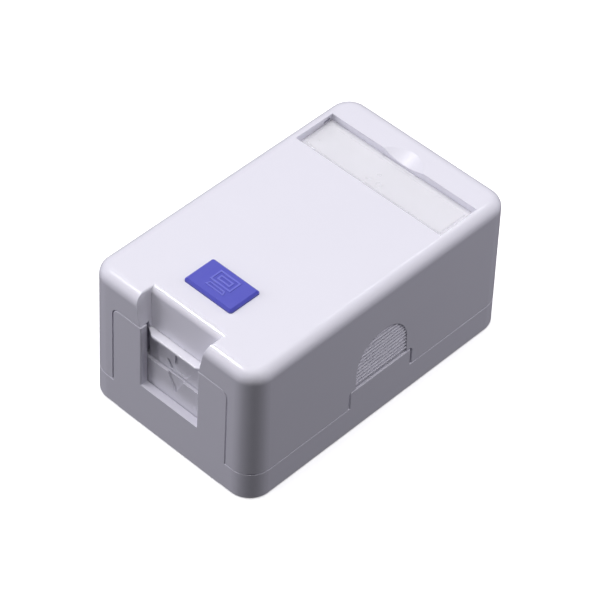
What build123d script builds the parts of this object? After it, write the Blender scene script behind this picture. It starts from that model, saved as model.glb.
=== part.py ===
from build123d import *
import math
import os

# Single-port surface-mount network outlet box, closed, port at -Y, underside on z = 0.
# Millimetres. Origin: centre of the underside.

# ---------------------------------------------------------------- driving dimensions
W = 40.0            # overall width, X
L = 65.0            # overall length, Y
H = 30.0            # height to the cover's top face
R_CORNER = 4.57     # vertical corner radius at the underside
R_TOP = 2.13        # cover top edge fillet
DRAFT = 0.7         # wall draft, degrees, narrowing upwards
T_WALL = 1.8        # cover wall
Z_SEAM = 6.2        # base wall top, where the cover sits
Z_FLOOR = 2.4       # top of the base floor
Z_CEIL = 28.0       # underside of the cover's top

TONGUE_HW = 13.75   # front tongue half width
TONGUE_TOP = 23.6
TONGUE_T = 1.72     # front tongue thickness
RIM_FRONT = 0.14    # finer chamfer on the front tongue
RIM = 0.3           # chamfer on the base's visible top edges
GAP = 0.2           # assembly gap round the tongues
PORT_HW = 6.85      # port opening half width
SILL_Z = 9.8
GROOVE_HW = 8.2     # shutter groove half width

Y_B = -30.66        # lower shutter face
T_B = 0.68
Y_A = -29.86        # upper shutter face
T_A = 0.80
SH_HW = 8.05        # shutter half width in the grooves
SH_HW_A = 7.2       # upper shutter half width above its guide foot
B_Z0, B_Z1 = 9.0, 15.67
A_Z0, A_Z1 = 14.9, 22.47
LIP_T = 0.54
LIP_Y0 = -31.26

NOTCH_HW_TOP = 8.3      # notch half width at the top
NOTCH_HW_RATE = 0.195   # narrowing per mm of depth
NOTCH_Y_TOP = -28.35    # notch back wall at the top
NOTCH_Y_RATE = 0.176    # back wall slope per mm of depth
NOTCH_Z = 23.85         # underside of the cheeks
NOTCH_BACK_Z = 22.62    # underside of the back wall, just above the finger lip
NOTCH_WALL = 1.5

SIDE_Y = -0.22      # side tongue and knockout centre
SIDE_HW = 7.88
SIDE_TOP = 10.05
KO_R = 6.35         # knockout arch radius
KO_ZC = 13.8
KO_FLARE = 6.5
KO_DEPTH = 0.28         # sawtooth valley depth
KO_RISE = 0.27          # height of each up-facing facet
KO_TIPS = [11.17, 12.04, 12.90, 13.76, 14.60, 15.43, 16.24, 17.05, 17.89, 18.72, 19.55]

LAB_HW = 17.35      # label recess
LAB_Y0, LAB_Y1 = 16.0, 25.4
LAB_FLOOR = 28.2
SCREW_Y = 20.7
SCOOP_R = 12.2
SCOOP_APEX = 27.9
SCOOP_ANG = 19.8

ICON_Y = -19.82
ICON_W, ICON_L = 11.25, 7.08
ICON_FLOOR = 28.9
ICON_TOP = 30.7

JACK_Y0, JACK_Y1 = -27.2, -9.2
JACK_HW = 7.25
JACK_Z0, JACK_Z1 = 7.0, 22.4

os.makedirs("parts", exist_ok=True)
TAN = math.tan(math.radians(DRAFT))


def wall_x(z):
    return W / 2 - TAN * z


def wall_y(z):
    return L / 2 - TAN * z


def save(part, name):
    part.label = name
    export_step(part, "parts/" + name + ".step")


# ---------------------------------------------------------------- shared outer form
# Drafted rounded block the base and the cover are both cut from.
with BuildPart() as envelope:
    with BuildSketch(Plane.XY):
        RectangleRounded(W, L, R_CORNER)
    extrude(amount=H, taper=DRAFT)

# Inner form of the cover wall.
with BuildPart() as cover_core:
    with BuildSketch(Plane.XY):
        RectangleRounded(W - 2 * T_WALL, L - 2 * T_WALL, R_CORNER - T_WALL)
    extrude(amount=Z_CEIL, taper=DRAFT)

# Outer and inner forms of the base's locating lip.
with BuildPart() as lip_outer:
    with BuildSketch(Plane.XY):
        RectangleRounded(W - 2 * T_WALL - 0.3, L - 2 * T_WALL - 0.3, R_CORNER - T_WALL - 0.15)
    extrude(amount=8.2, taper=DRAFT)

with BuildPart() as base_core:
    with BuildSketch(Plane.XY):
        RectangleRounded(W - 5.6, L - 5.6, R_CORNER - 2.8)
    extrude(amount=H, taper=DRAFT)

def notch_hw(z):
    return NOTCH_HW_TOP - NOTCH_HW_RATE * (H - z)


def notch_y(z):
    return NOTCH_Y_TOP - NOTCH_Y_RATE * (H - z)


# ---------------------------------------------------------------- knockout grooves
# Sawtooth grooves inside a U outline, cut into the wall face. Each tooth has a short
# facet facing up and a longer one facing down.
def sawtooth(wall):
    pts = [(wall(10.0) + 0.6, 9.6), (wall(10.0) - KO_DEPTH, 9.6), (wall(10.6) - KO_DEPTH, 10.6)]
    for zt in KO_TIPS:
        pts.append((wall(zt) - 0.03, zt))
        pts.append((wall(zt) - KO_DEPTH, zt + KO_RISE))
    pts.append((wall(20.4) - 0.03, 20.4))
    pts.append((wall(20.4) + 0.6, 20.4))
    return pts


with BuildPart() as grooves_right:
    with BuildSketch(Plane.XZ.offset(-(SIDE_Y + 8.0))):
        with BuildLine():
            Polyline(sawtooth(wall_x), close=True)
        make_face()
    extrude(amount=16.0)
    with BuildSketch(Plane.YZ.offset(15.0)):
        with BuildLine():
            Polyline((SIDE_Y - KO_R, KO_ZC), (SIDE_Y - KO_FLARE, SIDE_TOP), (SIDE_Y + KO_FLARE, SIDE_TOP), (SIDE_Y + KO_R, KO_ZC))
            ThreePointArc((SIDE_Y + KO_R, KO_ZC), (SIDE_Y, KO_ZC + KO_R), (SIDE_Y - KO_R, KO_ZC))
        make_face()
    extrude(amount=8.0, mode=Mode.INTERSECT)

with BuildPart() as grooves_rear:
    with BuildSketch(Plane.YZ.offset(-8.0)):
        with BuildLine():
            Polyline(sawtooth(wall_y), close=True)
        make_face()
    extrude(amount=16.0)
    with BuildSketch(Plane.XZ.offset(-28.0)):
        with BuildLine():
            Polyline((-KO_R, KO_ZC), (-KO_FLARE, SIDE_TOP), (KO_FLARE, SIDE_TOP), (KO_R, KO_ZC))
            ThreePointArc((KO_R, KO_ZC), (0, KO_ZC + KO_R), (-KO_R, KO_ZC))
        make_face()
    extrude(amount=-8.0, mode=Mode.INTERSECT)

# Score line on the inside of each knockout, where the panel breaks out.
with BuildPart() as score_right:
    with BuildSketch(Plane.YZ.offset(16.5)):
        with BuildLine():
            Polyline((SIDE_Y - KO_R, KO_ZC), (SIDE_Y - KO_FLARE, SIDE_TOP - 1), (SIDE_Y + KO_FLARE, SIDE_TOP - 1), (SIDE_Y + KO_R, KO_ZC))
            ThreePointArc((SIDE_Y + KO_R, KO_ZC), (SIDE_Y, KO_ZC + KO_R), (SIDE_Y - KO_R, KO_ZC))
        make_face()
        with BuildLine():
            Polyline((SIDE_Y - KO_R + 0.6, KO_ZC), (SIDE_Y - KO_FLARE + 0.6, SIDE_TOP - 1), (SIDE_Y + KO_FLARE - 0.6, SIDE_TOP - 1), (SIDE_Y + KO_R - 0.6, KO_ZC))
            ThreePointArc((SIDE_Y + KO_R - 0.6, KO_ZC), (SIDE_Y, KO_ZC + KO_R - 0.6), (SIDE_Y - KO_R + 0.6, KO_ZC))
        make_face(mode=Mode.SUBTRACT)
    extrude(amount=2.4)

with BuildPart() as score_rear:
    with BuildSketch(Plane.XZ.offset(-29.0)):
        with BuildLine():
            Polyline((-KO_R, KO_ZC), (-KO_FLARE, SIDE_TOP - 1), (KO_FLARE, SIDE_TOP - 1), (KO_R, KO_ZC))
            ThreePointArc((KO_R, KO_ZC), (0, KO_ZC + KO_R), (-KO_R, KO_ZC))
        make_face()
        with BuildLine():
            Polyline((-KO_R + 0.6, KO_ZC), (-KO_FLARE + 0.6, SIDE_TOP - 1), (KO_FLARE - 0.6, SIDE_TOP - 1), (KO_R - 0.6, KO_ZC))
            ThreePointArc((KO_R - 0.6, KO_ZC), (0, KO_ZC + KO_R - 0.6), (-KO_R + 0.6, KO_ZC))
        make_face(mode=Mode.SUBTRACT)
    extrude(amount=-2.4)

# ---------------------------------------------------------------- finger notch
with BuildPart() as notch_cut:
    # side view: slanted back wall running into the top through a soft round
    with BuildSketch(Plane.YZ.offset(-12.0)) as notch_side:
        with BuildLine():
            Polyline((-40.0, 22.0), (notch_y(22.0), 22.0), (NOTCH_Y_TOP, H), (-24.0, H), (-24.0, 32.0), (-40.0, 32.0), close=True)
        make_face()
        fillet([v for v in notch_side.vertices() if abs(v.X - NOTCH_Y_TOP) < 0.01], 1.4)
    extrude(amount=24.0)
    # front view: slanted cheeks with a small round at the top
    with BuildSketch(Plane.XZ.offset(20.0)) as notch_front:
        with BuildLine():
            Polyline(
                (-notch_hw(22.0), 22.0), (notch_hw(22.0), 22.0), (NOTCH_HW_TOP, H), (12.0, H),
                (12.0, 32.0), (-12.0, 32.0), (-12.0, H), (-NOTCH_HW_TOP, H), close=True,
            )
        make_face()
        fillet([v for v in notch_front.vertices() if abs(abs(v.X) - NOTCH_HW_TOP) < 0.01], 0.35)
    extrude(amount=20.0, mode=Mode.INTERSECT)

with BuildPart() as notch_liner:
    for zc in (NOTCH_Z, 28.6):
        with BuildSketch(Plane.XY.offset(zc)):
            with Locations((0, (notch_y(zc) + NOTCH_WALL - 31.0) / 2)):
                Rectangle(2 * (notch_hw(zc) + NOTCH_WALL), notch_y(zc) + NOTCH_WALL + 31.0)
    loft(ruled=True)

# ---------------------------------------------------------------- cover
with BuildPart() as cover:
    add(envelope.part)
    fillet(cover.edges().group_by(Axis.Z)[-1], R_TOP)
    # open underside, seam level
    with BuildSketch(Plane.XY.offset(-1)):
        Rectangle(W + 4, L + 4)
    extrude(amount=Z_SEAM + 1, mode=Mode.SUBTRACT)
    add(cover_core.part, mode=Mode.SUBTRACT)
    # notch pocket walls, hung from the top; the back wall reaches down to the finger lip
    add(notch_liner.part)
    with BuildSketch(Plane.XY.offset(NOTCH_BACK_Z)):
        with Locations((0, -29.0)):
            Rectangle(13.4, 2.2)
        with Locations((0, -29.55)):
            Rectangle(15.8, 1.0)
    extrude(amount=1.6)
    # ceiling block under the label recess, with the screw boss
    with BuildSketch(Plane.XY.offset(26.4)):
        with Locations((0, (LAB_Y0 + LAB_Y1) / 2)):
            Rectangle(2 * (wall_x(26.4) - T_WALL) + 1.0, LAB_Y1 - LAB_Y0 + 2.8)
    extrude(amount=2.2)
    with BuildSketch(Plane.XY.offset(24.6)):
        with Locations((0, SCREW_Y)):
            Circle(4.0)
    extrude(amount=2.0)
    # icon pocket backing
    with BuildSketch(Plane.XY.offset(27.3)):
        with Locations((0, ICON_Y)):
            Rectangle(ICON_W + 3.2, ICON_L + 3.2)
    extrude(amount=1.0)
    # stiffening ribs under the top, running along the box
    with BuildSketch(Plane.XY.offset(26.2)):
        with Locations((-13.2, -6.0), (13.2, -6.0)):
            Rectangle(1.0, 38.0)
    extrude(amount=2.0)
    # stand-off fingers that hold the jack down
    with BuildSketch(Plane.XY.offset(22.55)):
        with Locations((-4.6, -24.0), (4.6, -24.0)):
            Rectangle(1.2, 4.0)
    extrude(amount=5.6)
    # finger notch
    add(notch_cut.part, mode=Mode.SUBTRACT)
    # opening for the base's front tongue
    with BuildSketch(Plane.XZ.offset(30.4)):
        with Locations((0, (TONGUE_TOP + GAP) / 2)):
            RectangleRounded(2 * (TONGUE_HW + GAP), TONGUE_TOP + GAP, 1.7)
    extrude(amount=4.0, mode=Mode.SUBTRACT)
    with BuildSketch(Plane.XY.offset(Z_SEAM - 0.5)):
        with Locations((0, -32.4)):
            Rectangle(2 * (TONGUE_HW + GAP), 4.0)
    extrude(amount=8.0, mode=Mode.SUBTRACT)
    # openings for the side and rear tongues
    with BuildSketch(Plane.YZ.offset(-W / 2 - 1)):
        with Locations((SIDE_Y, (SIDE_TOP + GAP) / 2)):
            RectangleRounded(2 * (SIDE_HW + GAP), SIDE_TOP + GAP, 0.9)
    extrude(amount=W + 2, mode=Mode.SUBTRACT)
    with BuildSketch(Plane.XZ.offset(-L / 2 - 1)):
        with Locations((0, (SIDE_TOP + GAP) / 2)):
            RectangleRounded(2 * (SIDE_HW + GAP), SIDE_TOP + GAP, 0.9)
    extrude(amount=6.0, mode=Mode.SUBTRACT)
    with BuildSketch(Plane.XY.offset(Z_SEAM - 0.5)):
        with Locations((0, SIDE_Y)):
            Rectangle(W + 4, 2 * (SIDE_HW + GAP))
        with Locations((0, L / 2)):
            Rectangle(2 * (SIDE_HW + GAP), 6.0)
    extrude(amount=2.5, mode=Mode.SUBTRACT)
    # knockouts: V grooves outside, score line inside
    add(grooves_right.part, mode=Mode.SUBTRACT)
    mirror(grooves_right.part, about=Plane.YZ, mode=Mode.SUBTRACT)
    add(grooves_rear.part, mode=Mode.SUBTRACT)
    add(score_right.part, mode=Mode.SUBTRACT)
    mirror(score_right.part, about=Plane.YZ, mode=Mode.SUBTRACT)
    add(score_rear.part, mode=Mode.SUBTRACT)
    # label recess, thumb scoop, screw counterbore and hole
    with BuildSketch(Plane.XY.offset(LAB_FLOOR)):
        with Locations((0, (LAB_Y0 + LAB_Y1) / 2)):
            Rectangle(2 * LAB_HW, LAB_Y1 - LAB_Y0)
    extrude(amount=4.0, mode=Mode.SUBTRACT)
    scoop_c = math.cos(math.radians(SCOOP_ANG))
    scoop_s = math.sin(math.radians(SCOOP_ANG))
    scoop_plane = Plane(
        origin=(0, 25.3 - scoop_s * SCOOP_R * 1.0, 28.94 + scoop_c * SCOOP_R),
        x_dir=(1, 0, 0),
        z_dir=(0, scoop_c, scoop_s),
    )
    with BuildSketch(scoop_plane):
        Circle(SCOOP_R)
    extrude(amount=9.0, mode=Mode.SUBTRACT)
    with BuildSketch(Plane.XY.offset(26.1)):
        with Locations((0, SCREW_Y)):
            Circle(3.0)
    extrude(amount=3.0, mode=Mode.SUBTRACT)
    with BuildSketch(Plane.XY.offset(24.0)):
        with Locations((0, SCREW_Y)):
            Circle(1.65)
    extrude(amount=3.0, mode=Mode.SUBTRACT)
    # snap pockets in the end walls of the label recess
    with BuildSketch(Plane.XY.offset(28.75)):
        with Locations((-17.55, 24.0), (17.55, 24.0)):
            Rectangle(0.8, 1.6)
    extrude(amount=0.6, mode=Mode.SUBTRACT)
    # icon pocket
    with BuildSketch(Plane.XY.offset(ICON_FLOOR)):
        with Locations((0, ICON_Y)):
            RectangleRounded(ICON_W + 0.12, ICON_L + 0.12, 0.56)
    extrude(amount=3.0, mode=Mode.SUBTRACT)
save(cover.part, "cover")

# ---------------------------------------------------------------- base
# Tongues that stand up from the base wall into the cover's openings.
with BuildPart() as tongues:
    with BuildSketch(Plane.XZ.offset(L / 2 - TONGUE_T)):
        with Locations((0, TONGUE_TOP / 2)):
            RectangleRounded(2 * TONGUE_HW, TONGUE_TOP, 1.5)
    extrude(amount=4.0)
    with BuildSketch(Plane.XY.offset(3.0)):
        with Locations((0, -32.28)):
            Rectangle(2 * TONGUE_HW, 3.0)
    extrude(amount=6.0)
    with BuildSketch(Plane.YZ.offset(wall_x(8) - 1.75)):
        with Locations((SIDE_Y, SIDE_TOP / 2 + 1.5)):
            RectangleRounded(2 * SIDE_HW, SIDE_TOP - 3.0, 0.7)
    extrude(amount=4.0)
    with BuildSketch(Plane.YZ.offset(-wall_x(8) + 1.75)):
        with Locations((SIDE_Y, SIDE_TOP / 2 + 1.5)):
            RectangleRounded(2 * SIDE_HW, SIDE_TOP - 3.0, 0.7)
    extrude(amount=-4.0)
    with BuildSketch(Plane.XZ.offset(-wall_y(8) + 1.75)):
        with Locations((0, SIDE_TOP / 2 + 1.5)):
            RectangleRounded(2 * SIDE_HW, SIDE_TOP - 3.0, 0.7)
    extrude(amount=-4.0)
    add(envelope.part, mode=Mode.INTERSECT)
    # fine chamfer round each tongue's outer face
    front_face = tongues.faces().sort_by(Axis.Y)[0]
    chamfer([e for e in front_face.edges() if e.center().Z > 4.0], RIM_FRONT)
    for outer in (tongues.faces().sort_by(Axis.Y)[-1], tongues.faces().sort_by(Axis.X)[0], tongues.faces().sort_by(Axis.X)[-1]):
        chamfer([e for e in outer.edges() if e.center().Z > 4.0], RIM)

with BuildPart() as base:
    # tray wall, with a fine chamfer on its outer top edge
    add(envelope.part)
    with BuildSketch(Plane.XY.offset(Z_SEAM)):
        Rectangle(W + 4, L + 4)
    extrude(amount=H, mode=Mode.SUBTRACT)
    chamfer(base.edges().group_by(Axis.Z)[-1], RIM)
    fillet(base.edges().group_by(Axis.Z)[0], 0.35)
    # locating lip inside the cover
    add(lip_outer.part)
    add(tongues.part)
    # hollow
    with BuildSketch(Plane.XY.offset(Z_FLOOR)):
        RectangleRounded(W - 5.6 - 2 * TAN * Z_FLOOR, L - 5.6 - 2 * TAN * Z_FLOOR, 1.7)
    extrude(amount=8.0, taper=DRAFT, mode=Mode.SUBTRACT)
    # port jambs behind the tongue
    with BuildSketch(Plane.XY.offset(Z_FLOOR - 0.4)):
        with Locations((-8.15, -29.55), (8.15, -29.55)):
            Rectangle(2.6, 3.3)
    extrude(amount=TONGUE_TOP - Z_FLOOR + 0.4)
    # jack cradle: side rails, cross ribs, rear stop
    with BuildSketch(Plane.XY.offset(Z_FLOOR - 0.4)):
        with Locations((-8.2, -18.5), (8.2, -18.5)):
            Rectangle(1.5, 15.0)
    extrude(amount=12.0)
    with BuildSketch(Plane.XY.offset(Z_FLOOR - 0.4)):
        with Locations((0, -24.6), (0, -18.0), (0, -11.6)):
            Rectangle(15.0, 1.4)
    extrude(amount=7.0 - Z_FLOOR + 0.4)
    with BuildSketch(Plane.XY.offset(Z_FLOOR - 0.4)):
        with Locations((0, -5.5), (0, 3.5)):
            Rectangle(12.0, 1.4)
    extrude(amount=7.2 - Z_FLOOR + 0.4)
    with BuildSketch(Plane.XY.offset(Z_FLOOR - 0.4)):
        with Locations((0, 8.0)):
            Rectangle(12.0, 1.6)
    extrude(amount=11.0)
    # cover screw boss with four gussets
    with BuildSketch(Plane.XY.offset(Z_FLOOR - 0.4)):
        with Locations((0, SCREW_Y)):
            Circle(3.4)
    extrude(amount=24.5 - Z_FLOOR + 0.4)
    with BuildSketch(Plane.XY.offset(Z_FLOOR - 0.4)):
        with Locations((0, SCREW_Y)):
            Rectangle(11.0, 1.2)
            Rectangle(1.2, 11.0)
    extrude(amount=9.0)
    # cable-tie bridges, one each side behind the jack
    with BuildSketch(Plane.XY.offset(Z_FLOOR - 0.4)):
        with Locations((-11.5, 24.0), (11.5, 24.0)):
            Rectangle(4.0, 6.0)
    extrude(amount=4.0)
    with BuildSketch(Plane.YZ.offset(-14.0)):
        with Locations((24.0, Z_FLOOR + 1.1)):
            Rectangle(3.4, 1.8)
    extrude(amount=28.0, mode=Mode.SUBTRACT)
    # front port opening above the sill
    with BuildSketch(Plane.XZ.offset(30.2)):
        with Locations((0, SILL_Z + 10.0)):
            Rectangle(2 * PORT_HW, 20.0)
    extrude(amount=4.0, mode=Mode.SUBTRACT)
    fillet([e for e in base.edges() if abs(abs(e.center().X) - PORT_HW) < 0.05 and e.center().Y < -32.0 and e.center().Z > 12.0], 0.24)
    # shutter well and jamb grooves
    with BuildSketch(Plane.XY.offset(Z_FLOOR)):
        with Locations((0, -29.85)):
            Rectangle(2 * GROOVE_HW, 1.86)
        with Locations((0, -28.6)):
            Rectangle(2 * PORT_HW, 2.6)
    extrude(amount=24.0, mode=Mode.SUBTRACT)
    # cover screw pilot hole
    with BuildSketch(Plane.XY.offset(10.0)):
        with Locations((0, SCREW_Y)):
            Circle(1.55)
    extrude(amount=16.0, mode=Mode.SUBTRACT)
    # two slotted mounting holes through the floor
    with BuildSketch(Plane.XY.offset(-1.0)):
        with Locations((-12.5, 12.0), (12.5, 12.0)):
            SlotOverall(6.0, 3.8)
    extrude(amount=6.0, mode=Mode.SUBTRACT)
    # shallow pockets for the adhesive pads in the underside
    with BuildSketch(Plane.XY):
        with Locations((0, -15.0)):
            Rectangle(26.2, 18.2)
        with Locations((0, 22.5)):
            Rectangle(26.2, 10.2)
    extrude(amount=1.0, mode=Mode.SUBTRACT)
save(base.part, "base")

# ---------------------------------------------------------------- shutter, lower panel
with BuildPart() as shutter_lower:
    with BuildSketch(Plane.XY.offset(B_Z0)):
        with Locations((0, Y_B + T_B / 2)):
            Rectangle(2 * SH_HW, T_B)
    extrude(amount=B_Z1 - B_Z0)
    # engraved arrow point
    with BuildSketch(Plane.XZ.offset(-Y_B - 0.3)):
        with BuildLine():
            Polyline((-1.91, B_Z1 + 0.01), (0, 12.17), (1.91, B_Z1 + 0.01), close=True)
        make_face()
    extrude(amount=2.0, mode=Mode.SUBTRACT)
    # pick-up channels in the back, open downwards
    with BuildSketch(Plane.XZ.offset(-(Y_B + T_B - 0.28))):
        with Locations((-4.5, (B_Z0 + 15.22) / 2 - 0.5), (4.5, (B_Z0 + 15.22) / 2 - 0.5)):
            Rectangle(2.4, 15.22 - B_Z0 + 1.0)
    extrude(amount=-1.0, mode=Mode.SUBTRACT)
save(shutter_lower.part, "shutter_lower")

# ---------------------------------------------------------------- shutter, upper panel
with BuildPart() as shutter_upper:
    with BuildSketch(Plane.XY.offset(A_Z0)):
        with Locations((0, Y_A + T_A / 2)):
            Rectangle(2 * SH_HW_A, T_A)
    extrude(amount=A_Z1 - A_Z0)
    # guide foot, wide enough to ride in the jamb grooves
    with BuildSketch(Plane.XY.offset(A_Z0)):
        with Locations((0, Y_A + T_A / 2)):
            Rectangle(2 * SH_HW, T_A)
    extrude(amount=0.7)
    # finger lip
    with BuildSketch(Plane.XY.offset(A_Z1 - LIP_T)):
        with BuildLine():
            Polyline((-5.2, LIP_Y0), (5.2, LIP_Y0), (7.55, -29.9), (7.55, -29.3), (-7.55, -29.3), (-7.55, -29.9), close=True)
        make_face()
    extrude(amount=LIP_T)
    fillet([e for e in shutter_upper.edges() if abs(e.center().Z - A_Z1) < 0.01 and e.center().Y < -30.2], 0.2)
    # engraved arrow: tail of the head, and the shaft
    with BuildSketch(Plane.XZ.offset(-Y_A - 0.28)):
        with BuildLine():
            Polyline((-1.86, 16.07), (1.86, 16.07), (2.86, 17.88), (0.95, 17.88), (0.95, A_Z1 - LIP_T), (-0.95, A_Z1 - LIP_T), (-0.95, 17.88), (-2.86, 17.88), close=True)
        make_face()
    extrude(amount=0.6, mode=Mode.SUBTRACT)
    # pick-up ribs that lift the lower panel
    with BuildSketch(Plane.XY.offset(A_Z0)):
        with Locations((-4.5, Y_A - 0.1), (4.5, Y_A - 0.1)):
            Rectangle(2.0, 0.5)
    extrude(amount=0.26)
save(shutter_upper.part, "shutter_upper")

# ---------------------------------------------------------------- icon insert
with BuildPart() as icon_insert:
    with BuildSketch(Plane.XY.offset(ICON_FLOOR)):
        with Locations((0, ICON_Y)):
            RectangleRounded(ICON_W, ICON_L, 0.5)
    extrude(amount=ICON_TOP - ICON_FLOOR)
    chamfer(icon_insert.edges().group_by(Axis.Z)[-1], 0.38)
    # raised outline pictogram: screen and keyboard
    with BuildSketch(Plane.XY.offset(ICON_TOP - 0.1)):
        with Locations((0, -18.95)):
            Rectangle(4.8, 2.8)
            Rectangle(4.16, 2.16, mode=Mode.SUBTRACT)
            Rectangle(2.96, 1.2)
            Rectangle(2.36, 0.6, mode=Mode.SUBTRACT)
        with BuildLine():
            Polyline((-2.12, -21.72), (2.12, -21.72), (1.78, -20.78), (-1.78, -20.78), close=True)
        make_face()
        with BuildLine():
            Polyline((-1.78, -21.48), (1.78, -21.48), (1.6, -21.02), (-1.6, -21.02), close=True)
        make_face(mode=Mode.SUBTRACT)
    extrude(amount=0.2)
save(icon_insert.part, "icon_insert")

# ---------------------------------------------------------------- label window and paper
with BuildPart() as paper_label:
    with BuildSketch(Plane.XY.offset(LAB_FLOOR)):
        with Locations((0, 20.7)):
            Rectangle(34.0, 9.0)
    extrude(amount=0.14)
save(paper_label.part, "paper_label")

with BuildPart() as label_window:
    with BuildSketch(Plane.XY.offset(28.36)):
        with Locations((0, 20.7)):
            Rectangle(34.4, 9.16)
    extrude(amount=0.49)
    chamfer(label_window.edges().group_by(Axis.Z)[-1], 0.1)
    # raised writing field with sloped sides
    with BuildSketch(Plane.XY.offset(28.84)):
        with Locations((0, 20.45)):
            RectangleRounded(32.7, 7.1, 0.4)
    extrude(amount=0.26, taper=44)
    # finger edge
    with BuildSketch(Plane.XY.offset(28.6)):
        with Locations((0, 25.2)):
            Rectangle(8.6, 1.3)
    extrude(amount=1.0, mode=Mode.SUBTRACT)
save(label_window.part, "label_window")

# ---------------------------------------------------------------- cover screw
with BuildPart() as cover_screw:
    with BuildSketch(Plane.XY.offset(26.12)):
        with Locations((0, SCREW_Y)):
            Circle(2.75)
    extrude(amount=1.55)
    fillet(cover_screw.edges().group_by(Axis.Z)[-1], 0.5)
    with BuildSketch(Plane.XY.offset(14.0)):
        with Locations((0, SCREW_Y)):
            Circle(1.47)
    extrude(amount=12.2)
    chamfer(cover_screw.edges().group_by(Axis.Z)[0], 0.6)
    with BuildSketch(Plane.XY.offset(26.9)):
        with Locations((0, SCREW_Y)):
            Rectangle(3.2, 0.7)
            Rectangle(0.7, 3.2)
    extrude(amount=1.5, mode=Mode.SUBTRACT)
save(cover_screw.part, "cover_screw")

# ---------------------------------------------------------------- jack
with BuildPart() as jack_housing:
    with BuildSketch(Plane.XY.offset(JACK_Z0)):
        with Locations((0, (JACK_Y0 + JACK_Y1) / 2)):
            Rectangle(2 * JACK_HW, JACK_Y1 - JACK_Y0)
    extrude(amount=JACK_Z1 - JACK_Z0)
    fillet(jack_housing.edges().filter_by(Axis.Y), 0.4)
    # plug cavity
    with BuildSketch(Plane.XZ.offset(13.2)):
        with Locations((0, 15.0)):
            Rectangle(11.9, 6.8)
    extrude(amount=16.0, mode=Mode.SUBTRACT)
    # latch slot
    with BuildSketch(Plane.XZ.offset(15.2)):
        with Locations((0, 19.2)):
            Rectangle(6.3, 2.2)
    extrude(amount=14.0, mode=Mode.SUBTRACT)
    # contact well below the plug
    with BuildSketch(Plane.XZ.offset(13.2)):
        with Locations((0, 10.6)):
            Rectangle(9.6, 2.4)
    extrude(amount=11.3, mode=Mode.SUBTRACT)
    # rear chamber for the contact carrier
    with BuildSketch(Plane.XZ.offset(9.0)):
        with Locations((0, 13.4)):
            Rectangle(11.9, 10.0)
    extrude(amount=4.2, mode=Mode.SUBTRACT)
    # side snap flutes
    with BuildSketch(Plane.XY.offset(10.0)):
        with Locations((-JACK_HW, -13.0), (JACK_HW, -13.0)):
            Rectangle(0.8, 2.0)
    extrude(amount=7.0, mode=Mode.SUBTRACT)
save(jack_housing.part, "jack_housing")

PITCH = 1.02
contact_x = [(i - 3.5) * PITCH for i in range(8)]
with BuildPart() as jack_contact_wires:
    for cx in contact_x:
        with BuildLine(Plane.YZ.offset(cx)) as spring_path:
            FilletPolyline((-8.4, 8.62), (-8.4, 9.9), (-22.2, 9.9), (-15.6, 13.85), radius=0.6)
        with BuildSketch(Plane(origin=(cx, -8.4, 8.62), z_dir=(0, 0, 1))):
            Circle(0.23)
        sweep(path=spring_path.wires()[0])
save(jack_contact_wires.part, "jack_contact_wires")

with BuildPart() as jack_contact_carrier:
    with BuildSketch(Plane.XY.offset(8.65)):
        with Locations((0, -11.3)):
            Rectangle(11.6, 3.5)
    extrude(amount=5.2)
    with BuildSketch(Plane.XZ.offset(9.0)):
        with Locations([(cx, 9.45) for cx in contact_x]):
            Rectangle(0.6, 1.7)
    extrude(amount=5.0, mode=Mode.SUBTRACT)
save(jack_contact_carrier.part, "jack_contact_carrier")

with BuildPart() as jack_pcb:
    with BuildSketch(Plane.XY.offset(7.22)):
        with Locations((0, -1.0)):
            RectangleRounded(13.4, 16.0, 0.5)
    extrude(amount=1.4)
save(jack_pcb.part, "jack_pcb")

IDC_Y = [-5.8, -2.6, 0.6, 3.8]
IDC_X = 6.3
with BuildPart() as idc_block:
    with BuildSketch(Plane.XY.offset(8.7)):
        with Locations((0, -0.95)):
            Rectangle(16.6, 15.9)
    extrude(amount=8.3)
    # punch-down posts
    with BuildSketch(Plane.XY.offset(16.9)):
        with Locations((-IDC_X, -1.0), (IDC_X, -1.0)):
            Rectangle(4.0, 13.4)
    extrude(amount=3.6)
    with BuildSketch(Plane.YZ.offset(-10.0)):
        with Locations([(iy, 18.0) for iy in IDC_Y]):
            Rectangle(1.1, 5.4)
    extrude(amount=20.0, mode=Mode.SUBTRACT)
    # terminal pockets
    with BuildSketch(Plane.XY.offset(8.0)):
        with Locations([(sx * IDC_X, iy) for sx in (-1, 1) for iy in IDC_Y]):
            Rectangle(0.55, 2.3)
    extrude(amount=11.0, mode=Mode.SUBTRACT)
    # relief over the contact tails
    with BuildSketch(Plane.XY.offset(8.0)):
        with Locations((0, -8.4)):
            Rectangle(8.8, 1.6)
    extrude(amount=2.7, mode=Mode.SUBTRACT)
save(idc_block.part, "idc_block")

with BuildPart() as idc_terminals:
    with BuildSketch(Plane.XY.offset(8.64)):
        with Locations([(sx * IDC_X, iy) for sx in (-1, 1) for iy in IDC_Y]):
            Rectangle(0.4, 2.1)
    extrude(amount=9.8)
    with BuildSketch(Plane.YZ.offset(-10.0)):
        with Locations([(iy, 17.2) for iy in IDC_Y]):
            Rectangle(0.4, 3.4)
    extrude(amount=20.0, mode=Mode.SUBTRACT)
save(idc_terminals.part, "idc_terminals")

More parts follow.
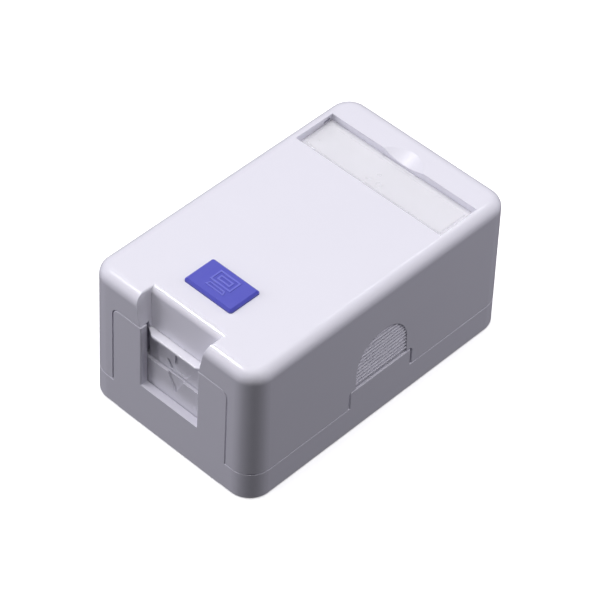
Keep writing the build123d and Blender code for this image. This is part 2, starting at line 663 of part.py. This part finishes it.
with BuildPart() as idc_cap_left:
    with BuildSketch(Plane.XY.offset(17.05)):
        with Locations((-IDC_X, -1.0)):
            RectangleRounded(5.6, 15.0, 0.4)
    extrude(amount=4.9)
    with BuildSketch(Plane.XY.offset(17.0)):
        with Locations((-IDC_X, -1.0)):
            Rectangle(4.4, 13.8)
    extrude(amount=3.7, mode=Mode.SUBTRACT)
    # wire notches through both skirts
    with BuildSketch(Plane.YZ.offset(-10.0)):
        with Locations([(iy, 17.6) for iy in IDC_Y]):
            Rectangle(1.2, 1.8)
    extrude(amount=10.0, mode=Mode.SUBTRACT)
save(idc_cap_left.part, "idc_cap_left")

with BuildPart() as idc_cap_right:
    mirror(idc_cap_left.part, about=Plane.YZ)
save(idc_cap_right.part, "idc_cap_right")

with BuildPart() as wiring_label:
    with BuildSketch(Plane.YZ.offset(8.3)):
        with Locations((-1.0, 12.4)):
            Rectangle(12.0, 4.6)
    extrude(amount=0.12)
save(wiring_label.part, "wiring_label")

# ---------------------------------------------------------------- adhesive pads and liners
with BuildPart() as adhesive_pad_front:
    with BuildSketch(Plane.XY.offset(0.12)):
        with Locations((0, -15.0)):
            Rectangle(26.0, 18.0)
    extrude(amount=0.88)
save(adhesive_pad_front.part, "adhesive_pad_front")

with BuildPart() as adhesive_pad_rear:
    with BuildSketch(Plane.XY.offset(0.12)):
        with Locations((0, 22.5)):
            Rectangle(26.0, 10.0)
    extrude(amount=0.88)
save(adhesive_pad_rear.part, "adhesive_pad_rear")

with BuildPart() as release_liner_front:
    with BuildSketch(Plane.XY):
        with Locations((0, -15.0)):
            Rectangle(26.0, 18.0)
    extrude(amount=0.12)
save(release_liner_front.part, "release_liner_front")

with BuildPart() as release_liner_rear:
    with BuildSketch(Plane.XY):
        with Locations((0, 22.5)):
            Rectangle(26.0, 10.0)
    extrude(amount=0.12)
save(release_liner_rear.part, "release_liner_rear")
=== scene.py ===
import math
import random

import bpy
import bmesh
from mathutils import Matrix, Vector


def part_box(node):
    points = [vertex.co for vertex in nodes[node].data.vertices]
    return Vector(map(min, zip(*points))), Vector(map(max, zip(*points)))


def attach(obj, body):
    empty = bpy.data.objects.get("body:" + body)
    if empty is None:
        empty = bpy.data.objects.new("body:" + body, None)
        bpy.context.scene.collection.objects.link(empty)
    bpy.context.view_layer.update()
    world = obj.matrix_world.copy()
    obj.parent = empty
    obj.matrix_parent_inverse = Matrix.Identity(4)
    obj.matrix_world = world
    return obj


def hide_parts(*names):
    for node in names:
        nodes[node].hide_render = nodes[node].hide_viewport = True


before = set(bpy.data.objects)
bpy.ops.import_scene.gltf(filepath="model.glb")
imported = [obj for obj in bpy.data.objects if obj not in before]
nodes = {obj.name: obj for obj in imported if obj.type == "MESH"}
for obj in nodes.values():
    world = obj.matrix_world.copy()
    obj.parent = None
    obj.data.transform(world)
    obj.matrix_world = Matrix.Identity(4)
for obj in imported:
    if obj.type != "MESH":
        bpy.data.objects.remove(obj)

random.seed(7)
MM = 0.001
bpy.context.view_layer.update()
scene = bpy.context.scene


# ------------------------------------------------------------------ material helpers
class Mat:
    """A small builder for node materials."""

    def __init__(self, name):
        self.m = bpy.data.materials.new(name)
        self.m.use_nodes = True
        self.nt = self.m.node_tree
        self.p = self.nt.nodes["Principled BSDF"]
        self.out = self.nt.nodes["Material Output"]
        self.tc = self.nt.nodes.new("ShaderNodeTexCoord")
        self.bumps = None

    def soften(self, radius=0.00016):
        """Round every hard edge a little in the shading, as a mould does."""
        b = self.node("ShaderNodeBevel")
        b.samples = 6
        b.inputs["Radius"].default_value = radius
        self.bumps = b.outputs["Normal"]
        self.link(self.bumps, self.p.inputs["Normal"])
        return self

    def node(self, kind, **kw):
        n = self.nt.nodes.new(kind)
        for k, v in kw.items():
            if k == "inputs":
                for i, val in v.items():
                    n.inputs[i].default_value = val
            else:
                setattr(n, k, v)
        return n

    def link(self, a, b):
        self.nt.links.new(a, b)

    def obj(self, scale=(1, 1, 1), loc=(0, 0, 0), rot=(0, 0, 0)):
        mp = self.node("ShaderNodeMapping")
        mp.inputs["Scale"].default_value = scale
        mp.inputs["Location"].default_value = loc
        mp.inputs["Rotation"].default_value = rot
        self.link(self.tc.outputs["Object"], mp.inputs["Vector"])
        return mp.outputs["Vector"]

    def noise(self, scale, detail=3.0, rough=0.5, vec=None, distortion=0.0):
        n = self.node("ShaderNodeTexNoise")
        n.inputs["Scale"].default_value = scale
        n.inputs["Detail"].default_value = detail
        n.inputs["Roughness"].default_value = rough
        n.inputs["Distortion"].default_value = distortion
        self.link(vec if vec is not None else self.tc.outputs["Object"], n.inputs["Vector"])
        return n.outputs["Fac"]

    def voronoi(self, scale, feature="F1", vec=None, rand=1.0):
        n = self.node("ShaderNodeTexVoronoi", feature=feature)
        n.inputs["Scale"].default_value = scale
        n.inputs["Randomness"].default_value = rand
        self.link(vec if vec is not None else self.tc.outputs["Object"], n.inputs["Vector"])
        return n.outputs["Distance"]

    def ramp(self, fac, stops, interp="LINEAR"):
        r = self.node("ShaderNodeValToRGB")
        r.color_ramp.interpolation = interp
        els = r.color_ramp.elements
        while len(els) > 1:
            els.remove(els[-1])
        els[0].position = stops[0][0]
        els[0].color = tuple(stops[0][1]) + ((1,) if len(stops[0][1]) == 3 else ())
        for pos, col in stops[1:]:
            e = els.new(pos)
            e.color = tuple(col) + ((1,) if len(col) == 3 else ())
        self.link(fac, r.inputs["Fac"])
        return r.outputs["Color"]

    def math(self, op, a, b=None, c=None, clamp=False):
        n = self.node("ShaderNodeMath", operation=op)
        n.use_clamp = clamp
        for i, v in enumerate((a, b, c)):
            if v is None:
                continue
            if isinstance(v, (int, float)):
                n.inputs[i].default_value = v
            else:
                self.link(v, n.inputs[i])
        return n.outputs[0]

    def maprange(self, v, f0, f1, t0, t1):
        n = self.node("ShaderNodeMapRange")
        n.inputs["From Min"].default_value = f0
        n.inputs["From Max"].default_value = f1
        n.inputs["To Min"].default_value = t0
        n.inputs["To Max"].default_value = t1
        self.link(v, n.inputs["Value"])
        return n.outputs["Result"]

    def mix(self, fac, a, b, blend="MIX"):
        n = self.node("ShaderNodeMix", data_type="RGBA", blend_type=blend)
        for key, v in ((0, fac), (6, a), (7, b)):
            if isinstance(v, (int, float)):
                n.inputs[key].default_value = v
            elif isinstance(v, tuple):
                n.inputs[key].default_value = v if len(v) == 4 else v + (1,)
            else:
                self.link(v, n.inputs[key])
        return n.outputs[2]

    def bump(self, height, strength, distance):
        b = self.node("ShaderNodeBump")
        b.inputs["Strength"].default_value = strength
        b.inputs["Distance"].default_value = distance
        self.link(height, b.inputs["Height"])
        if self.bumps is not None:
            self.link(self.bumps, b.inputs["Normal"])
        self.bumps = b.outputs["Normal"]
        self.link(self.bumps, self.p.inputs["Normal"])
        return self.bumps

    def set(self, **kw):
        for k, v in kw.items():
            k = k.replace("_", " ")
            if isinstance(v, (int, float, tuple)):
                self.p.inputs[k].default_value = v if not (isinstance(v, tuple) and len(v) == 3 and k in ("Base Color", "Specular Tint", "Coat Tint", "Sheen Tint", "Emission Color")) else v + (1,)
            else:
                self.link(v, self.p.inputs[k])
        return self


def moulded(name, col, dark, rough=(0.30, 0.40), grain=0.035, coat=0.0, coat_rough=0.08, sss=0.0, grain_scale=5200.0, edge=0.00016):
    """Injection-moulded plastic: cloudy tone, flow marks, fine spark-eroded grain, uneven gloss."""
    k = Mat(name)
    if edge:
        k.soften(edge)
    cloud = k.noise(55.0, 4.0, 0.55)
    flow = k.noise(14.0, 2.0, 0.5, vec=k.obj(scale=(1, 0.35, 1)), distortion=0.6)
    tone = k.math("ADD", k.math("MULTIPLY", cloud, 0.55), k.math("MULTIPLY", flow, 0.45))
    k.set(Base_Color=k.mix(k.maprange(tone, 0.35, 0.65, 0.0, 1.0), dark, col))
    r = k.math("ADD", k.math("MULTIPLY", k.noise(90.0, 5.0, 0.6), 0.6), k.math("MULTIPLY", k.noise(900.0, 2.0, 0.5), 0.4))
    k.set(Roughness=k.maprange(r, 0.3, 0.7, rough[0], rough[1]))
    k.set(IOR=1.52)
    if coat:
        k.set(Coat_Weight=coat, Coat_Roughness=coat_rough)
    if sss:
        k.set(Subsurface_Weight=sss, Subsurface_Scale=0.0012)
        k.p.inputs["Subsurface Radius"].default_value = (1.0, 0.9, 0.85)
    k.bump(k.noise(grain_scale, 2.0, 0.6), grain, 0.00006)
    k.bump(k.noise(70.0, 2.0, 0.5), 0.05, 0.0001)
    return k


def put(mat, *names):
    for n in names:
        o = nodes[n]
        o.data.materials.clear()
        o.data.materials.append(mat.m)


# ------------------------------------------------------------------ materials
WHITE = (0.838, 0.826, 0.905)
WHITE_D = (0.822, 0.810, 0.890)
white_cover = moulded("white_cover_abs", WHITE, WHITE_D, rough=(0.30, 0.38), grain=0.02, coat=0.55, coat_rough=0.06, edge=0.00006)
white_base = moulded("white_base_abs", (0.828, 0.816, 0.895), (0.812, 0.800, 0.880), rough=(0.30, 0.38), grain=0.022, coat=0.5, coat_rough=0.08, edge=0.00008)
white_shutter = moulded("white_shutter_abs", (0.845, 0.835, 0.900), (0.828, 0.818, 0.885), rough=(0.28, 0.36), grain=0.02, coat=0.5, coat_rough=0.08, edge=0.00005)
put(white_cover, "cover")
put(white_base, "base")
put(white_shutter, "shutter_lower", "shutter_upper")

blue = moulded("icon_blue_abs", (0.098, 0.103, 0.555), (0.090, 0.095, 0.530), rough=(0.32, 0.42), grain=0.02, coat=0.5, coat_rough=0.09, edge=0.0001)
# painted highlight: the raised lines of the pictogram are painted a little lighter than the field, standing in
# for the light their rounded tops catch
top_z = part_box("icon_insert")[1][2]
pos_b = blue.node("ShaderNodeSeparateXYZ")
blue.link(blue.tc.outputs["Object"], pos_b.inputs[0])
pictogram_painted_highlight = blue.maprange(pos_b.outputs["Z"], top_z - 0.085 * MM, top_z - 0.02 * MM, 0.0, 1.0)
old = blue.p.inputs["Base Color"].links[0].from_socket
blue.set(Base_Color=blue.mix(pictogram_painted_highlight, old, (0.175, 0.185, 0.70)))
put(blue, "icon_insert")

paper = Mat("label_paper")
fib = paper.noise(420.0, 6.0, 0.65, vec=paper.obj(scale=(1, 2.2, 1)))
paper.set(Base_Color=paper.mix(paper.maprange(fib, 0.35, 0.65, 0, 1), (0.90, 0.895, 0.935), (0.935, 0.93, 0.965)), Roughness=0.85)
paper.bump(fib, 0.25, 0.00005)
put(paper, "paper_label")


def clear_plate(name, tint, alpha, rough):
    """Clear styrene seen edge-on and face-on: partly see-through, glossy, faint moulding haze."""
    k = Mat(name)
    k.soften(0.00008)
    haze = k.noise(60.0, 4.0, 0.55)
    # painted shade: sloped sides are painted denser and greyer than the flat face, standing in for the light they
    # bend away
    geo = k.node("ShaderNodeNewGeometry")
    nz = k.node("ShaderNodeSeparateXYZ")
    k.link(geo.outputs["Normal"], nz.inputs[0])
    slope_painted_shade = k.maprange(k.math("ABSOLUTE", nz.outputs["Z"]), 0.60, 0.97, 1.0, 0.0)
    flat_col = k.mix(k.maprange(haze, 0.35, 0.65, 0.0, 1.0), tuple(c * 0.975 for c in tint), tint)
    k.set(Base_Color=k.mix(slope_painted_shade, flat_col, (0.66, 0.655, 0.69)))
    k.set(Roughness=k.maprange(k.noise(160.0, 3.0, 0.5), 0.3, 0.7, rough * 0.7, rough * 1.4))
    k.set(IOR=1.49, Coat_Weight=0.6, Coat_Roughness=0.05)
    k.p.inputs["Alpha"].default_value = alpha
    k.bump(k.noise(120.0, 2.0, 0.5), 0.01, 0.0001)
    return k


window = clear_plate("clear_window_ps", (0.975, 0.97, 1.0), 0.28, 0.10)
put(window, "label_window")

steel = Mat("screw_zinc")
br = steel.noise(900.0, 4.0, 0.6)
steel.set(Base_Color=steel.mix(steel.maprange(br, 0.3, 0.7, 0, 1), (0.55, 0.55, 0.56), (0.72, 0.72, 0.73)), Metallic=1.0, Roughness=steel.maprange(br, 0.3, 0.7, 0.24, 0.42))
steel.bump(br, 0.15, 0.00003)
put(steel, "cover_screw")


def smooth01(t):
    t = max(0.0, min(1.0, t))
    return t * t * (3 - 2 * t)


def threaded_screw(name, mat):
    """Pan-head self-tapping screw: rolled thread, gimlet point, cross recess sunk in the head."""
    lo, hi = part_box("cover_screw")
    cx, cy = (lo.x + hi.x) / 2, (lo.y + hi.y) / 2
    z0, z1 = lo.z, hi.z
    seg = 72
    head_h, head_r, core, crest, pitch = 1.55 * MM, (hi.x - lo.x) / 2, 1.08 * MM, 1.46 * MM, 1.02 * MM
    under = z1 - head_h
    rings = []

    def ring(fn):
        rings.append([(cx + fn(a)[0] * math.cos(a), cy + fn(a)[0] * math.sin(a), fn(a)[1]) for a in (2 * math.pi * i / seg for i in range(seg))])

    steps = 150
    run0, run1 = z0 + 0.05 * MM, under - 0.55 * MM
    for k in range(steps + 1):
        z = run0 + (run1 - run0) * k / steps
        grow = smooth01((z - z0) / (2.6 * MM))
        fade = smooth01((run1 - z) / (0.9 * MM)) * grow

        def at(a, z=z, grow=grow, fade=fade):
            ph = ((z - z0) / pitch - a / (2 * math.pi)) % 1.0
            tri = max(0.0, 1.0 - abs(ph - 0.5) / 0.30)
            return (0.12 * MM + (core - 0.12 * MM) * grow + (crest - core) * fade * tri ** 0.8, z)

        ring(at)
    for r, z in ((core, under - 0.3 * MM), (core * 1.18, under - 0.04 * MM), (core * 1.3, under), (head_r * 0.94, under), (head_r * 0.99, under + 0.08 * MM), (head_r, under + 0.25 * MM), (head_r, under + 0.62 * MM)):
        ring(lambda a, r=r, z=z: (r, z))
    for k in range(1, 9):
        t = k / 8 * math.pi / 2
        r, z = head_r - 0.62 * MM * (1 - math.cos(t)), under + 0.62 * MM + (head_h - 0.70 * MM) * math.sin(t)
        ring(lambda a, r=r, z=z: (r, z))
    r_in = head_r - 0.62 * MM

    def recess(a, r):
        x, y = r * math.cos(a), r * math.sin(a)
        d = 0.0
        for u, v in ((x, y), (y, x)):
            w = smooth01((0.40 * MM - abs(v)) / (0.14 * MM)) * smooth01((1.62 * MM - abs(u)) / (0.5 * MM))
            d = max(d, w)
        mid = smooth01((0.75 * MM - r) / (0.3 * MM))
        return -max(d, mid) * (0.85 * MM + 0.15 * MM * mid)

    top = z1 - 0.02 * MM
    for k in range(1, 31):
        r = r_in * (1 - k / 31.0)
        ring(lambda a, r=r: (r, top + recess(a, r) - 0.06 * MM * (r / r_in) ** 2))
    bm = bmesh.new()
    vs = [[bm.verts.new(p) for p in rg] for rg in rings]
    for a, b in zip(vs, vs[1:]):
        for i in range(seg):
            j = (i + 1) % seg
            bm.faces.new((a[i], a[j], b[j], b[i]))
    tip = bm.verts.new((cx, cy, z0))
    pit = bm.verts.new((cx, cy, top - 1.0 * MM))
    for i in range(seg):
        j = (i + 1) % seg
        bm.faces.new((tip, vs[0][j], vs[0][i]))
        bm.faces.new((pit, vs[-1][i], vs[-1][j]))
    bmesh.ops.recalc_face_normals(bm, faces=bm.faces)
    for f in bm.faces:
        f.smooth = True
    me = bpy.data.meshes.new(name)
    bm.to_mesh(me)
    bm.free()
    me.materials.append(mat.m)
    ob = bpy.data.objects.new(name, me)
    scene.collection.objects.link(ob)
    return ob


screw = threaded_screw("cover_screw_threaded", steel)
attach(screw, "cover")
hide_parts("cover_screw")

jack_white = moulded("jack_pc", (0.78, 0.78, 0.77), (0.74, 0.74, 0.735), rough=(0.28, 0.42), grain=0.05)
put(jack_white, "jack_housing")
gold = Mat("contact_gold")
gn = gold.noise(1500.0, 3.0, 0.5)
gold.set(Base_Color=gold.mix(gold.maprange(gn, 0.3, 0.7, 0, 1), (0.78, 0.55, 0.20), (0.90, 0.68, 0.30)), Metallic=1.0, Roughness=gold.maprange(gn, 0.3, 0.7, 0.18, 0.32))
gold.bump(gn, 0.1, 0.00002)
put(gold, "jack_contact_wires")
black = moulded("carrier_black_pbt", (0.022, 0.022, 0.024), (0.014, 0.014, 0.016), rough=(0.42, 0.55), grain=0.08)
put(black, "jack_contact_carrier")

pcb = Mat("pcb_solder_mask")
tr = pcb.node("ShaderNodeTexBrick")
tr.inputs["Scale"].default_value = 260.0
tr.inputs["Mortar Size"].default_value = 0.03
tr.inputs["Color1"].default_value = (0.010, 0.12, 0.045, 1)
tr.inputs["Color2"].default_value = (0.012, 0.135, 0.050, 1)
tr.inputs["Mortar"].default_value = (0.03, 0.22, 0.09, 1)
pcb.link(pcb.tc.outputs["Object"], tr.inputs["Vector"])
pcb.set(Base_Color=pcb.mix(pcb.maprange(pcb.noise(300.0, 3.0), 0.4, 0.6, 0, 0.35), tr.outputs["Color"], (0.008, 0.09, 0.035, 1)), Roughness=pcb.maprange(pcb.noise(500.0, 3.0), 0.3, 0.7, 0.22, 0.36))
pcb.bump(tr.outputs["Fac"], 0.35, 0.00003)
put(pcb, "jack_pcb")

idc = moulded("idc_grey_pc", (0.60, 0.60, 0.60), (0.55, 0.55, 0.555), rough=(0.34, 0.48), grain=0.06)
put(idc, "idc_block")
tin = Mat("terminal_tin")
tn = tin.noise(1800.0, 4.0, 0.6)
tin.set(Base_Color=tin.mix(tin.maprange(tn, 0.3, 0.7, 0, 1), (0.62, 0.62, 0.60), (0.78, 0.78, 0.76)), Metallic=1.0, Roughness=tin.maprange(tn, 0.3, 0.7, 0.28, 0.45))
tin.bump(tn, 0.12, 0.00002)
put(tin, "idc_terminals")
cap = moulded("cap_frosted", (0.70, 0.73, 0.76), (0.64, 0.67, 0.71), rough=(0.30, 0.45), grain=0.06)
put(cap, "idc_cap_left", "idc_cap_right")

film = Mat("wiring_colour_film")
sep = film.node("ShaderNodeSeparateXYZ")
film.link(film.obj(scale=(1, 1 / 0.003, 1), loc=(0, 7.0 * MM / 0.003, 0)), sep.inputs[0])
fy = film.math("FLOOR", sep.outputs["Y"])
fy = film.math("DIVIDE", fy, 4.0)
bars = film.ramp(fy, [(0.0, (0.80, 0.28, 0.03)), (0.2, (0.02, 0.30, 0.06)), (0.45, (0.03, 0.08, 0.45)), (0.7, (0.20, 0.08, 0.03))], "CONSTANT")
sz = film.node("ShaderNodeSeparateXYZ")
film.link(film.tc.outputs["Object"], sz.inputs[0])
band = film.math("MULTIPLY", film.math("GREATER_THAN", sz.outputs["Z"], 0.0108), film.math("LESS_THAN", sz.outputs["Z"], 0.0140))
film.set(Base_Color=film.mix(band, (0.82, 0.82, 0.80), bars), Roughness=film.maprange(film.noise(300.0), 0.3, 0.7, 0.35, 0.5))
film.bump(film.noise(1200.0, 2.0), 0.08, 0.00003)
put(film, "wiring_label")

foam = Mat("pad_foam")
cell = foam.voronoi(3200.0)
foam.set(Base_Color=foam.mix(foam.maprange(cell, 0.0, 0.6, 0, 1), (0.66, 0.66, 0.64), (0.84, 0.84, 0.82)), Roughness=0.8)
foam.bump(cell, 0.6, 0.0001)
put(foam, "adhesive_pad_front", "adhesive_pad_rear")
liner = Mat("release_liner")
ln = liner.noise(300.0, 5.0, 0.6, vec=liner.obj(scale=(1, 3, 1)))
liner.set(Base_Color=liner.mix(liner.maprange(ln, 0.3, 0.7, 0, 1), (0.74, 0.66, 0.42), (0.82, 0.75, 0.52)), Roughness=liner.maprange(ln, 0.3, 0.7, 0.28, 0.4))
liner.bump(ln, 0.1, 0.00004)
put(liner, "release_liner_front", "release_liner_rear")

# ------------------------------------------------------------------ camera
F_PX = 2935.1655
az, el, roll = (math.radians(a) for a in (42.2692, 45.2948, 2.5759))
target = Vector((-71.3539, 78.4029, -94.2451)) * MM
dist = 668.3014 * MM
back = Vector((math.sin(az) * math.cos(el), -math.cos(az) * math.cos(el), math.sin(el)))
pos = target + back * dist
right = (-back).cross(Vector((0, 0, 1))).normalized()
up = right.cross(-back)
r2 = right * math.cos(roll) + up * math.sin(roll)
u2 = -right * math.sin(roll) + up * math.cos(roll)
cam_data = bpy.data.cameras.new("camera")
cam_data.sensor_width = 36.0
cam_data.lens = 36.0 * F_PX / 600.0
cam_data.clip_start = 0.01
cam = bpy.data.objects.new("camera", cam_data)
scene.collection.objects.link(cam)
cam.matrix_world = Matrix(((r2.x, u2.x, back.x, pos.x), (r2.y, u2.y, back.y, pos.y), (r2.z, u2.z, back.z, pos.z), (0, 0, 0, 1)))
scene.camera = cam

# ------------------------------------------------------------------ floor, light
floor_me = bpy.data.meshes.new("floor")
bm = bmesh.new()
bmesh.ops.create_grid(bm, x_segments=8, y_segments=8, size=2.0)
bm.to_mesh(floor_me)
bm.free()
floor = bpy.data.objects.new("floor", floor_me)
scene.collection.objects.link(floor)
floor.location.z = -0.00015
fm = Mat("floor_white")
fm.set(Base_Color=fm.mix(fm.maprange(fm.noise(6.0, 2.0), 0.3, 0.7, 0, 1), (0.90, 0.90, 0.905), (0.92, 0.92, 0.925)), Roughness=0.9)
fm.p.inputs["Specular IOR Level"].default_value = 0.1
fm.set(Emission_Color=(1.0, 1.0, 1.0), Emission_Strength=0.52)
floor_me.materials.append(fm.m)
floor.visible_diffuse = False
floor.visible_glossy = False

world = bpy.data.worlds.new("world")
scene.world = world
world.use_nodes = True
world.node_tree.nodes["Background"].inputs["Color"].default_value = (0.90, 0.885, 1.0, 1)
world.node_tree.nodes["Background"].inputs["Strength"].default_value = 0.065


def area(name, loc, target_pt, size, power, colour=(1, 1, 1)):
    d = bpy.data.lights.new(name, "AREA")
    d.shape = "RECTANGLE"
    d.size, d.size_y = size
    d.energy = power
    d.color = colour
    o = bpy.data.objects.new(name, d)
    scene.collection.objects.link(o)
    loc, target_pt = Vector(loc), Vector(target_pt)
    o.location = loc
    o.rotation_euler = (target_pt - loc).to_track_quat("-Z", "Y").to_euler()
    return o


def strip(name, direction, dist, length, width, power):
    """A thin level strip light, long side level and facing the object."""
    d = bpy.data.lights.new(name, "AREA")
    d.shape = "RECTANGLE"
    d.size, d.size_y = length, width
    d.energy = power
    o = bpy.data.objects.new(name, d)
    scene.collection.objects.link(o)
    n = Vector(direction).normalized()
    side = Vector((0, 0, 1)).cross(n).normalized()
    upv = n.cross(side)
    c = n * dist
    o.matrix_world = Matrix(((side.x, upv.x, n.x, c.x), (side.y, upv.y, n.y, c.y), (side.z, upv.z, n.z, c.z), (0, 0, 0, 1)))
    return o


top_box = area("top_box", (-0.06, 0.02, 0.80), (0, 0, 0.02), (0.9, 0.9), 6.66, (1.0, 0.995, 1.0))
left_box = area("left_box", (-0.55, -0.45, 0.28), (0, 0, 0.015), (0.5, 0.4), 2.62, (0.935, 0.925, 1.0))
right_box = area("right_box", (0.275, 0.40, 0.145), (0, 0, 0.015), (0.28, 0.23), 0.79, (0.925, 0.91, 1.0))
for soft_light in (top_box, left_box, right_box):
    soft_light.visible_glossy = False
rim_strip = strip("rim_strip", (-0.41, 0.455, 0.80), 1.0, 0.60, 0.03, 0.44)
scoop_glint = strip("scoop_glint", (-0.473, -0.053, 0.880), 1.0, 0.12, 0.05, 2.0)
for thin_light in (rim_strip, scoop_glint):
    thin_light.visible_diffuse = False

scene.view_settings.view_transform = "Standard"
scene.view_settings.look = "None"
scene.view_settings.exposure = 0.0
scene.view_settings.gamma = 1.0

bpy.context.view_layer.update()
